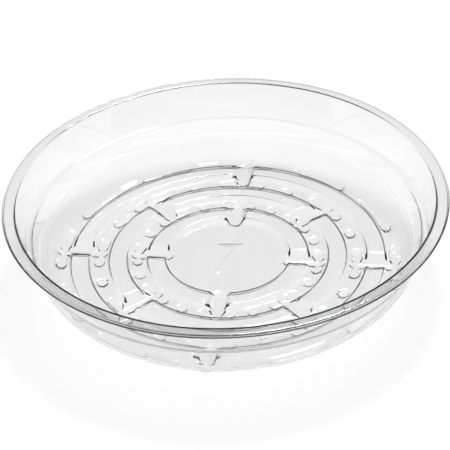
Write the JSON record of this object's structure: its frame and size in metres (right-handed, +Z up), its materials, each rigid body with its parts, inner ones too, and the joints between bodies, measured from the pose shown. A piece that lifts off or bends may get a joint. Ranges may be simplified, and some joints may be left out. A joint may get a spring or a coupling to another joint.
{
  "type": "plant saucer",
  "caption": "Clear plastic plant saucer with a flat rim, a ledge half way up its wall and raised ring ribs on its floor",
  "frame": {"origin": "on the saucer's axis, at the level of the surface that its feet stand on", "axes": "+Z up along the saucer's axis, +X and +Y through neighbouring notches of the inner and the outer rib"},
  "size_m": [0.1778, 0.1778, 0.034],
  "materials": {
    "clear_plastic": "clear and glossy"
  },
  "bodies": {
    "root": {"saucer": "clear_plastic"}
  },
  "joints": []
}
